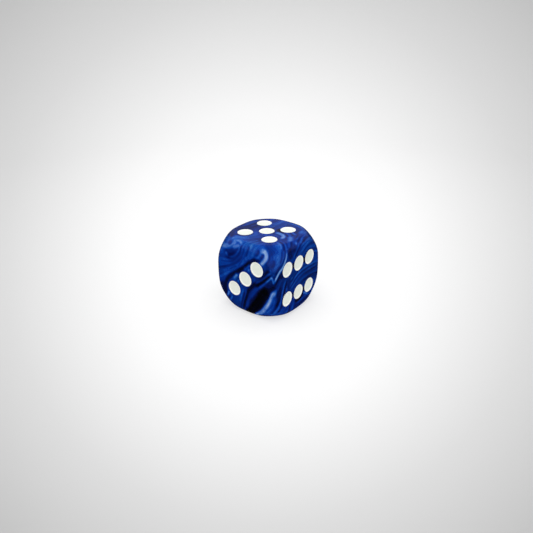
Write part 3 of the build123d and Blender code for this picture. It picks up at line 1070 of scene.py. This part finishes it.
@dataclass(frozen=True)
class SwirledResin(Finish):
    """Polished resin with pigments folded through it, coloured by the marbling laid on the mesh."""

    name: str = "swirled_resin"
    roughness: float = 0.09
    wear: float = 0.07
    refraction: float = 1.5
    layer_scale: float = 26  # of the fine layers, along the fold value
    layer_contrast: float = 0.8
    cloud_scale: float = 900
    cloud_contrast: float = 0.07
    speck_scale: float = 4200
    speck_contrast: float = 0.035
    tint_scale: float = 150
    tint_share: float = 0.8
    relief: float = 0.12
    relief_height: float = 0.02 * MM
    scale: tuple[tuple[Tone, Colour], ...] = (
        (Tone.INK, (0, 0, 5)),
        (Tone.MIDNIGHT, (0, 8, 50)),
        (Tone.NAVY, (0, 19, 84)),
        (Tone.COBALT, (0, 40, 124)),
        (Tone.ROYAL, (0, 57, 154)),
        (Tone.AZURE, (24, 87, 178)),
        (Tone.SKY, (78, 121, 191)),
        (Tone.PALE, (137, 169, 212)),
        (Tone.MILK, (205, 218, 238)),
    )

    def coloured(
        self, wiring: Wiring, place: bpy.types.NodeSocket
    ) -> tuple[bpy.types.NodeSocket, bpy.types.NodeSocket, float]:
        """Wires the marbled colour.

        Args:
            wiring: the material's node tree.
            place: the place in the die's own space.

        Returns:
            The colour, the grain that the surface follows, and how strongly.
        """
        tone = wiring.add("ShaderNodeAttribute", attribute_name="tone").outputs["Fac"]
        streak = wiring.add("ShaderNodeAttribute", attribute_name="streak").outputs["Fac"]
        fold = wiring.add("ShaderNodeAttribute", attribute_name="fold").outputs["Fac"]
        clouds = wiring.math("SUBTRACT", wiring.noise(place, self.cloud_scale, 4, 0.6), 0.5)
        specks = wiring.math("SUBTRACT", wiring.noise(place, self.speck_scale, 3, 0.6), 0.5)
        # fine layers, which follow the folds as rings follow a knot
        across = wiring.math("MULTIPLY_ADD", clouds, 0.03, fold)
        rings = wiring.add(
            "ShaderNodeTexNoise",
            {"W": across, "Scale": self.layer_scale, "Detail": 3, "Roughness": 0.6},
            noise_dimensions="1D",
        )
        layers = wiring.math("SUBTRACT", rings.outputs[0], 0.5)
        depth = wiring.math("MULTIPLY_ADD", fold, 0.5, 0.06)
        tone = wiring.math("MULTIPLY_ADD", wiring.math("MULTIPLY", layers, depth), self.layer_contrast, tone)
        tone = wiring.math("MULTIPLY_ADD", clouds, self.cloud_contrast, tone)
        tone = wiring.math("MULTIPLY_ADD", specks, self.speck_contrast, tone, clamp=True)
        colour = wiring.ramp(tone, [(float(step), srgb(*pigment)) for step, pigment in self.scale])
        # pigment drifts towards green in some folds and towards violet in others
        drift = wiring.noise(place, self.tint_scale, 2, 0.5)
        tint = wiring.ramp(
            drift, [(0.38, srgb(246, 255, 240)), (0.5, srgb(255, 255, 255)), (0.64, srgb(255, 246, 255))]
        )
        return wiring.tinted(colour, tint, self.tint_share), streak, 0.5


@dataclass(frozen=True)
class PipPaint(Finish):
    """Satin white paint, creamy and bright where it climbs the pocket's wall and greyer in its dish; the bright wall
    and grey dish are partly the paint's own and partly painted light on the wall and painted shade in the recess.
    """

    name: str = "pip_paint"
    roughness: float = 0.42
    wear: float = 0.12
    refraction: float = 1.45
    mottle_scale: float = 1300
    mottle_contrast: float = 0.5
    relief: float = 0.35
    relief_height: float = 0.03 * MM
    # rim and dish: the paint's cream, with the rim partly painted light and the dish partly painted shade in the
    # recess
    rim: Colour = (252, 254, 246)
    dish: Colour = (231, 237, 226)

    def coloured(
        self, wiring: Wiring, place: bpy.types.NodeSocket
    ) -> tuple[bpy.types.NodeSocket, bpy.types.NodeSocket, float]:
        """Wires the white, from creamy rim to greyer dish, partly painted light on the rim and painted shade in the
        dish.

        Args:
            wiring: the material's node tree.
            place: the place in the die's own space.

        Returns:
            The colour, the grain that the surface follows, and how strongly.
        """
        climb = wiring.add("ShaderNodeAttribute", attribute_name="climb").outputs["Fac"]
        mottle = wiring.math("SUBTRACT", wiring.noise(place, self.mottle_scale, 4, 0.6), 0.5)
        share = wiring.math("MULTIPLY_ADD", mottle, self.mottle_contrast, climb, clamp=True)
        # partly painted light and shade: lighter where the paint climbs the wall, greyer in the dish
        colour = wiring.ramp(share, [(0.0, srgb(*self.dish)), (0.62, srgb(*self.rim)), (1.0, srgb(*self.rim))])
        return colour, mottle, 1.2


# ---------------------------------------------------------------------------------------------------------
# Pieces


def drop_selection() -> None:
    """Leaves object mode's selection empty."""
    bpy.ops.object.select_all(action="DESELECT")


def pick(piece: bpy.types.Object) -> None:
    """Makes one piece the selected and active one.

    Args:
        piece: the piece.
    """
    drop_selection()
    piece.select_set(True)
    bpy.context.view_layer.objects.active = piece


def bake_place(piece: bpy.types.Object) -> None:
    """Puts a piece's place, turn and scale into its mesh."""
    pick(piece)
    bpy.ops.object.transform_apply(location=True, rotation=True, scale=True)


def finish_with(piece: bpy.types.Object, kind: str, **settings: object) -> None:
    """Adds a modifier to a piece and applies it.

    Args:
        piece: the piece.
        kind: the modifier's type.
        settings: values for the modifier's properties.
    """
    pick(piece)
    modifier = piece.modifiers.new(kind.lower(), kind)
    for name, value in settings.items():
        setattr(modifier, name, value)
    bpy.ops.object.modifier_apply(modifier=modifier.name)


def places_of(piece: bpy.types.Object) -> np.ndarray:
    """Reads where a piece's vertices are.

    Args:
        piece: the piece.

    Returns:
        Their places, one row each.
    """
    places = np.empty(len(piece.data.vertices) * 3)
    piece.data.vertices.foreach_get("co", places)
    return places.reshape(-1, 3)


def put_places(piece: bpy.types.Object, places: np.ndarray) -> None:
    """Moves a piece's vertices to new places, one row each."""
    piece.data.vertices.foreach_set("co", places.ravel())
    piece.data.update()


def spun(name: str, profile: Sequence[tuple[float, float]], segments: int) -> bpy.types.Object:
    """A closed shape turned about the z axis.

    Args:
        name: the piece's name.
        profile: radius and height of each point, in millimetres, from the axis at the bottom to the axis at the top.
        segments: steps round the axis.

    Returns:
        The piece, at the origin.
    """
    drop_selection()
    bpy.ops.mesh.primitive_plane_add(size=MM, location=(0, 0, 0))
    piece = bpy.context.object
    piece.name = piece.data.name = name
    bpy.ops.object.mode_set(mode="EDIT")
    bpy.ops.mesh.delete(type="VERT")
    bpy.ops.object.mode_set(mode="OBJECT")
    points = [(radius * MM, 0, height * MM) for radius, height in profile]
    piece.data.from_pydata(points, [(i, i + 1) for i in range(len(points) - 1)], [])
    bpy.ops.object.mode_set(mode="EDIT")
    bpy.ops.mesh.select_all(action="SELECT")
    bpy.ops.mesh.spin(steps=segments, angle=math.tau, center=(0, 0, 0), axis=(0, 0, 1))
    bpy.ops.mesh.select_all(action="SELECT")
    bpy.ops.mesh.remove_doubles(threshold=0.000001)
    bpy.ops.mesh.select_all(action="SELECT")
    bpy.ops.mesh.normals_make_consistent(inside=False)
    bpy.ops.object.mode_set(mode="OBJECT")
    return piece


@dataclass(frozen=True)
class Spot:
    """Where one pip sits: the side that it is on, and the middle of its mouth on the flat."""

    node: str
    side: Side
    mouth: Vector

    @classmethod
    def of(cls, node: str, middle: Vector) -> "Spot":
        """Reads a pip's spot from its CAD node's box.

        Args:
            node: the CAD node's name, which starts with the side's value.
            middle: the die's middle.

        Returns:
            The spot.
        """
        side = Side[node.split("_")[0].upper()]
        low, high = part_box(node)
        outward = Vector(side.outward)
        centre = (low + high) / 2
        return cls(node, side, centre + outward * (middle.z - (centre - middle).dot(outward)))

    def copy_here(self, pattern: bpy.types.Object, name: str) -> bpy.types.Object:
        """Copies a piece made about the z axis to this spot, turned to look out, with its place in its mesh.

        Args:
            pattern: the piece to copy, which stays as it is.
            name: the copy's name.

        Returns:
            The copy.
        """
        drop_selection()
        piece = bpy.data.objects.new(name, pattern.data.copy())
        piece.data.name = name
        bpy.context.scene.collection.objects.link(piece)
        piece.rotation_mode = "QUATERNION"
        piece.rotation_quaternion = Vector(self.side.outward).to_track_quat("Z", "Y")
        piece.location = self.mouth
        bake_place(piece)
        return piece


@dataclass
class DieBody:
    """The resin moulding: rounded cube, pockets with tumbled lips, and its marbling."""

    middle: Vector
    spots: list[Spot]
    edge_rounding: float = 1.3 * MM
    corner_radius: float = 11.1  # in millimetres, as the rest: of the ball that trims the corners
    ridge_sharpness: float = 45
    spared_radius: float = 7.02  # round the middle of each side
    spared_fade: float = 0.3
    pip_radius: float = 1.6
    pip_depth: float = 0.6
    floor_rounding: float = 0.2
    lip_rounding: float = 0.06
    pocket_segments: int = 64
    slack: float = 1.04  # the grid's block against the die, before it is shrunk onto its core
    cuts: tuple[int, ...] = (10, 10)  # one after another, because Blender makes at most 100 at a time

    def build(self) -> bpy.types.Object:
        """Models the body and lays its marbling.

        Returns:
            The body, undressed.
        """
        body = self.rolled_block()
        self.tumble(body)
        skin = Skin(body, self.middle)
        self.sink_pockets(body)
        pick(body)
        bpy.ops.object.shade_smooth()
        finish_with(body, "WEIGHTED_NORMAL", mode="FACE_AREA_WITH_ANGLE", keep_sharp=False)
        Marbling(skin).lay(body)
        return body

    def rolled_block(self) -> bpy.types.Object:
        """Models the cube with rolled edges: a fine grid shrunk to the rounding's distance from a core.

        Returns:
            The cube.
        """
        drop_selection()
        bpy.ops.mesh.primitive_cube_add(size=2 * (self.middle.z - self.edge_rounding), location=self.middle)
        core = bpy.context.object
        drop_selection()
        bpy.ops.mesh.primitive_cube_add(size=2 * self.slack * self.middle.z, location=self.middle)
        body = bpy.context.object
        body.name = body.data.name = "resin_body"
        bpy.ops.object.mode_set(mode="EDIT")
        bpy.ops.mesh.select_all(action="SELECT")
        for number in self.cuts:
            bpy.ops.mesh.subdivide(number_cuts=number)
        bpy.ops.object.mode_set(mode="OBJECT")
        finish_with(
            body,
            "SHRINKWRAP",
            target=core,
            wrap_method="NEAREST_SURFACEPOINT",
            wrap_mode="OUTSIDE_SURFACE",
            offset=self.edge_rounding,
        )
        bpy.data.objects.remove(core)
        bake_place(body)
        return body

    def tumble(self, body: bpy.types.Object) -> None:
        """Trims the corners to a ball and rubs down the ridges that this leaves, but spares the flats round the pips.

        Args:
            body: the cube with rolled edges.
        """
        half = self.middle.z / MM
        from_middle = places_of(body) / MM - np.array(self.middle) / MM
        radius = np.linalg.norm(from_middle, axis=1)
        to_plane = radius * half / np.abs(from_middle).max(axis=1)
        across = np.sqrt(np.maximum(to_plane**2 - half**2, 0))
        sharpness = self.ridge_sharpness
        rubbed = (radius**-sharpness + self.corner_radius**-sharpness) ** (-1 / sharpness)
        share = eased((across - self.spared_radius) / self.spared_fade)
        scale = 1 + (rubbed / radius - 1) * share
        put_places(body, (from_middle * scale[:, None] + np.array(self.middle) / MM) * MM)

    def sink_pockets(self, body: bpy.types.Object) -> None:
        """Cuts a pocket at every spot, with one cutter modelled once and copied.

        Args:
            body: the body to cut.
        """
        radius, lip, rounding = self.pip_radius, self.lip_rounding, self.floor_rounding
        floor = [
            (radius - rounding * (1 - math.sin(turn)), rounding * (1 - math.cos(turn)) - self.pip_depth)
            for turn in (math.radians(angle) for angle in (0, 30, 60, 90))
        ]
        mouth = [
            (radius + lip * (1 - math.cos(turn)), lip * math.sin(turn) - lip)
            for turn in (math.radians(angle) for angle in (0, 22, 44, 68))
        ]
        clear = radius + lip * 1.6
        above = [(clear, 0.02), (clear, 0.3), (0, 0.3)]
        cutter = spun("cutter", [(0, -self.pip_depth), *floor, *mouth, *above], self.pocket_segments)
        tools = [spot.copy_here(cutter, "pocket") for spot in self.spots]
        drop_selection()
        for tool in tools:
            tool.select_set(True)
        bpy.context.view_layer.objects.active = tools[0]
        bpy.ops.object.join()
        finish_with(body, "BOOLEAN", operation="DIFFERENCE", object=tools[0], solver="EXACT")
        for used in (tools[0], cutter):
            bpy.data.objects.remove(used)


@dataclass
class PaintDrops:
    """The drops of paint, one in each pocket, which climb the wall and dry with a dished top."""

    spots: list[Spot]
    pip_radius: float = 1.606  # in millimetres, as the rest: a touch over the pocket's, so that no gap shows
    depth: float = 0.59
    edge_drop: float = 0.066
    dish_drop: float = 0.2
    rim_width: float = 0.34
    cream_and_light_width: float = 0.42  # of the lighter band inside the wall, creamy and partly painted light, from its outer edge
    cream_and_light_fade: float = 0.25
    cream_and_light: float = 0.7  # how far up the wall's colour the band goes
    cream_and_light_everywhere: float = 0.12
    cream_and_light_raggedness: float = 0.16
    cream_and_light_patches: tuple[float, int] = (0.5, 12)  # size, seed
    swells: tuple[float, int] = (0.9, 11)  # size, seed
    swell_fade: float = 0.3  # over which the swells die out towards the wall
    top_reach: float = 0.3  # below the mouth, all that is deeper than this being underside
    unevenness: float = 0.03 * MM
    segments: int = 72

    def build(self) -> list[bpy.types.Object]:
        """Models one drop and gives each pocket its own uneven copy.

        Returns:
            The drops, in the spots' order.
        """
        radius, deep, edge, dish = self.pip_radius, -self.depth, -self.edge_drop, -self.dish_drop
        climb = [
            (radius - self.rim_width * share, edge + (dish - edge) * (1 - (1 - share) ** 1.5))
            for share in (0.0, 0.06, 0.14, 0.24, 0.36, 0.5, 0.66, 0.82, 1.0)
        ]
        dips = ((1.1, -0.004), (0.9, -0.006), (0.65, -0.004), (0.4, 0.0), (0.2, 0.002), (0, 0.003))
        top = [(out, dish + dip) for out, dip in dips]
        foot = [(0, deep), (radius - 0.21, deep), (radius - 0.07, deep + 0.06), (radius, deep + 0.2)]
        drop = spun("drop", [*foot, *climb, *top], self.segments)
        drops = []
        for spot in self.spots:
            piece = spot.copy_here(drop, f"paint_{spot.node}")
            self.unsettle(piece, spot)
            pick(piece)
            bpy.ops.object.shade_smooth()
            drops.append(piece)
        bpy.data.objects.remove(drop)
        return drops

    def unsettle(self, piece: bpy.types.Object, spot: Spot) -> None:
        """Makes a drop's top a little uneven and marks how far up the wall each part of it climbs, which sets its
        share of the lighter rim colour, partly painted light.

        Args:
            piece: the drop.
            spot: the pocket that it is in.
        """
        outward = np.array(spot.side.outward)
        places = places_of(piece)
        from_mouth = (places - np.array(spot.mouth)) / MM
        height = from_mouth @ outward
        radius = np.linalg.norm(from_mouth - height[:, None] * outward, axis=1)
        inner = eased((self.pip_radius - radius) / self.swell_fade) * (height > -self.top_reach)
        swell = Grain(*self.swells).at(places / MM) - 0.5
        places += outward * (swell * inner * self.unevenness)[:, None]
        put_places(piece, places)
        # share of the rim colour: the paint's cream, and partly painted light on the wall against painted shade in
        # the dish
        climb = eased((radius - self.pip_radius + self.cream_and_light_width) / self.cream_and_light_fade) * self.cream_and_light
        ragged = (Grain(*self.cream_and_light_patches).at(places / MM) - 0.5) * self.cream_and_light_raggedness
        climb = np.clip(climb + ragged + self.cream_and_light_everywhere, 0, 1).astype(np.float32)
        piece.data.attributes.new("climb", "FLOAT", "POINT").data.foreach_set("value", climb)


# ---------------------------------------------------------------------------------------------------------
# Studio


@dataclass
class Studio:
    """Pale floor and backdrop with a painted pool of light and a painted glow, soft light from all round, and the
    camera.
    """

    middle: Vector
    azimuth: float = 38.40  # degrees
    elevation: float = 26.39
    roll: float = -0.55
    distance: float = 0.1095
    lens: float = 34.55
    sensor: float = 36
    shift: tuple[float, float] = (-0.00407, -0.00114)
    # painted pool of light: the paper is painted lightest along the line from this fixed point to the aim below, and
    # greyer away from it; no lamp stands there
    painted_pool_source: tuple[float, float, float] = (0.061, -0.077, 0.057)  # where the pool of light on the paper comes from
    painted_pool_aim: tuple[float, float, float] = (0, 0, 0.0097)
    floor_reach: float = 0.16
    wall_height: float = 0.2
    bend: float = 0.08  # radius of the curve from floor to wall
    air: float = 1.62  # strength of the even light
    glow: float = 0.97  # strength of the paper's painted glow, its own light though it is no lamp, which makes up glow_share of it
    glow_share: float = 0.6
    sky: tuple[tuple[float, float], ...] = (  # height, from below to above, and brightness
        (0.0, 0.015),
        (0.5, 0.03),
        (0.58, 0.2),
        (0.74, 0.22),
        (0.86, 0.1),
        (1.0, 0.06),
    )
    pool: tuple[tuple[float, float], ...] = (  # distance from the painted pool's axis, and display grey
        (0.0, 255),
        (0.11, 253),
        (0.175, 246),
        (0.24, 232),
        (0.312, 216),
        (0.444, 191),
        (0.54, 197),
        (0.9, 223),
    )

    def build(self) -> None:
        """Sets up everything round the die."""
        self.light()
        self.floor()
        self.camera()
        bpy.context.scene.view_settings.view_transform = "Standard"

    def gaze(self) -> tuple[Vector, Vector, Vector]:
        """Works out how the camera is held.

        Returns:
            Its right, up and back.
        """
        turn, tilt, roll = (math.radians(angle) for angle in (self.azimuth, self.elevation, self.roll))
        back = Vector((math.sin(turn) * math.cos(tilt), -math.cos(turn) * math.cos(tilt), math.sin(tilt)))
        level = Vector((math.cos(turn), math.sin(turn), 0))
        upright = back.cross(level)
        right = level * math.cos(roll) + upright * math.sin(roll)
        return right, back.cross(right), back

    def camera(self) -> None:
        """Stands the camera before the corner between the three and the six."""
        right, up, back = self.gaze()
        drop_selection()
        bpy.ops.object.camera_add()
        camera = bpy.context.object
        camera.name = "camera"
        matrix = Matrix((right, up, back)).transposed().to_4x4()
        matrix.translation = self.middle + back * self.distance
        camera.matrix_world = matrix
        camera.data.lens, camera.data.sensor_width = self.lens, self.sensor
        camera.data.shift_x, camera.data.shift_y = self.shift
        camera.data.clip_start, camera.data.clip_end = 0.001, 10
        bpy.context.scene.camera = camera

    def light(self) -> None:
        """Even light from all round, of which the die's gloss mirrors only a dim sky."""
        world = bpy.data.worlds.new("studio_air")
        bpy.context.scene.world = world
        wiring = emptied(world)
        way = wiring.add("ShaderNodeTexCoord").outputs["Generated"]
        height = wiring.add("ShaderNodeSeparateXYZ", {0: way}).outputs["Z"]
        sky = wiring.ramp(
            wiring.math("MULTIPLY_ADD", height, 0.5, 0.5),
            [(step, (grey, grey, grey, 1)) for step, grey in self.sky],
        )
        mirrored = wiring.add("ShaderNodeLightPath").outputs["Is Glossy Ray"]
        air = wiring.add("ShaderNodeBackground", {"Color": (1, 1, 1, 1), "Strength": self.air})
        dim = wiring.add("ShaderNodeBackground", {"Color": sky, "Strength": 1.0})
        mix = wiring.add("ShaderNodeMixShader", {0: mirrored, 1: air.outputs[0], 2: dim.outputs[0]})
        wiring.add("ShaderNodeOutputWorld", {"Surface": mix.outputs[0]})

    def floor(self) -> None:
        """A round floor of paper whose edge curves up into a backdrop."""
        reach, round_off = self.floor_reach, self.bend
        curve = [
            (reach + round_off * math.sin(turn), round_off * (1 - math.cos(turn)))
            for turn in (math.radians(angle) for angle in range(0, 91, 6))
        ]
        profile = [(0.0, 0.0), (0.02, 0.0), (0.06, 0.0), (0.11, 0.0), *curve, (reach + round_off, self.wall_height)]
        floor = spun("studio_floor", [(r / MM, z / MM) for r, z in profile], 96)
        pick(floor)
        bpy.ops.object.shade_smooth()
        bpy.ops.object.mode_set(mode="EDIT")
        bpy.ops.mesh.select_all(action="SELECT")
        bpy.ops.mesh.normals_make_consistent(inside=True)
        bpy.ops.object.mode_set(mode="OBJECT")
        if floor.data.polygons[0].normal.z < 0:
            floor.data.flip_normals()
        floor.visible_glossy = False
        floor.data.materials.append(self.pale_paper())

    def pale_paper(self) -> bpy.types.Material:
        """White paper with a painted pool of light on it, which lies still and isn't seen from behind.

        Returns:
            The material.
        """
        made = bpy.data.materials.new("pale_paper")
        wiring = emptied(made)
        # painted pool of light: the paper's grey comes from the angle between each place and the pool's axis
        pool_axis = (Vector(self.painted_pool_aim) - Vector(self.painted_pool_source)).normalized()
        place = wiring.add("ShaderNodeTexCoord").outputs["Object"]
        offset = wiring.add("ShaderNodeVectorMath", {0: place, 1: self.painted_pool_source}, operation="SUBTRACT").outputs[0]
        heading = wiring.add("ShaderNodeVectorMath", {0: offset}, operation="NORMALIZE").outputs[0]
        along = wiring.add("ShaderNodeVectorMath", {0: heading, 1: tuple(pool_axis)}, operation="DOT_PRODUCT")
        slope = wiring.math("TANGENT", wiring.math("ARCCOSINE", wiring.math("MAXIMUM", along.outputs["Value"], 0.5)))
        shade = wiring.ramp(
            wiring.math("MULTIPLY", slope, 0.6), [(step, srgb(grey, grey, grey)) for step, grey in self.pool]
        )
        # painted glow: part of the paper's light is its own, though it is no lamp, so that the die's shadow on it
        # stays soft
        diffuse = wiring.add("ShaderNodeBsdfDiffuse", {"Color": shade})
        glow = wiring.add("ShaderNodeEmission", {"Color": shade, "Strength": self.glow})
        paper = wiring.add("ShaderNodeMixShader", {0: self.glow_share, 1: diffuse.outputs[0], 2: glow.outputs[0]})
        clear = wiring.add("ShaderNodeBsdfTransparent")
        behind = wiring.add("ShaderNodeNewGeometry").outputs["Backfacing"]
        seen = wiring.add("ShaderNodeLightPath").outputs["Is Camera Ray"]
        hidden = wiring.math("MULTIPLY", behind, seen)
        mix = wiring.add("ShaderNodeMixShader", {0: hidden, 1: paper.outputs[0], 2: clear.outputs[0]})
        wiring.add("ShaderNodeOutputMaterial", {"Surface": mix.outputs[0]})
        return made


# ---------------------------------------------------------------------------------------------------------


def main() -> None:
    """Builds and dresses the die, piece by piece, and sets it in the studio."""
    logging.basicConfig(level=logging.INFO, format="%(name)s: %(message)s")
    low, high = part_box("die_body")
    middle = (low + high) / 2
    spots = [Spot.of(node, middle) for node in sorted(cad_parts) if "_pip_" in node]
    wear = HandlingWear().nodes()

    body = DieBody(middle, spots).build()
    body.data.materials.clear()
    body.data.materials.append(SwirledResin().material(wear))
    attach(body, BODY)
    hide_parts("die_body")
    body.data.calc_loop_triangles()
    log.info("%s: %d triangles", body.name, len(body.data.loop_triangles))

    paint = PipPaint().material(wear)
    for drop, spot in zip(PaintDrops(spots).build(), spots):
        drop.data.materials.clear()
        drop.data.materials.append(paint)
        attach(drop, BODY)
        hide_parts(spot.node)
        log.info("%s in place of %s", drop.name, spot.node)

    Studio(middle).build()
    log.info("studio is set")


if __name__ == "__main__":
    main()
